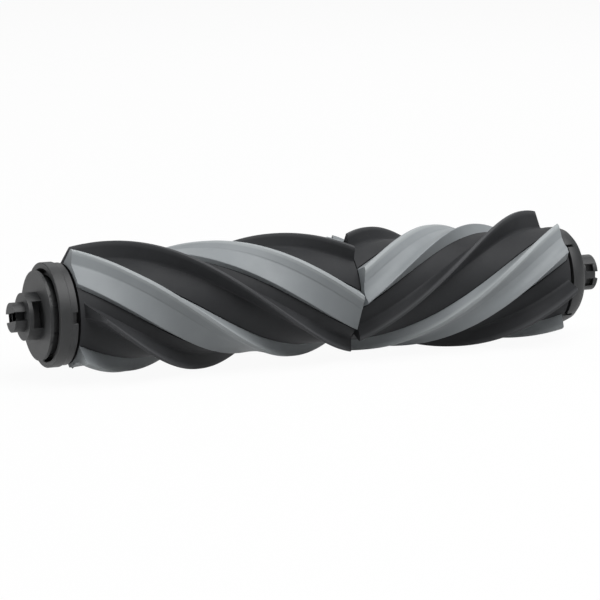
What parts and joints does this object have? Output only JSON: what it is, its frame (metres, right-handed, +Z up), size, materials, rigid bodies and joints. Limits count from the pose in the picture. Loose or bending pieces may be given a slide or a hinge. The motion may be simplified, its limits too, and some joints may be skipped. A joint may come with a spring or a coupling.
{
  "type": "robot vacuum roller brush",
  "caption": "Two-tone rubber roller brush with helical fins meeting in an off-centre chevron, a slotted drive pin at one end and a turning collar on a fixed stub at the other.",
  "frame": {"origin": "on the roller's axis at half of the overall length", "axes": "+X along the roller's axis from the fixed stub to the drive pin, +Z up, -Y towards the viewer of the picture"},
  "size_m": [0.1958, 0.0419, 0.041],
  "materials": {
    "dark_rubber": "satin charcoal rubber",
    "light_rubber": "satin light grey rubber",
    "charcoal_plastic": "fine matt moulded plastic",
    "core_plastic": "plain black moulded plastic",
    "bush_plastic": "natural bearing plastic",
    "steel": "turned steel"
  },
  "bodies": {
    "end_support": {"bearing_stub": "charcoal_plastic", "axle_pin": "steel", "thrust_washer": "steel", "retaining_clip": "steel"},
    "roller": {"end_bush": "bush_plastic", "left_collar": "charcoal_plastic", "core_tube": "core_plastic", "rubber_sleeve": "dark_rubber", "drive_cap": "charcoal_plastic", "left_strip_1": "light_rubber", "left_strip_2": "light_rubber", "left_strip_3": "light_rubber", "right_strip_1": "light_rubber", "right_strip_2": "light_rubber", "right_strip_3": "light_rubber"}
  },
  "joints": [
    {"name": "roller_spin", "type": "hinge", "parent": "end_support", "child": "roller", "pos_m": [0, 0, 0], "axis": [1, 0, 0], "continuous": true}
  ]
}
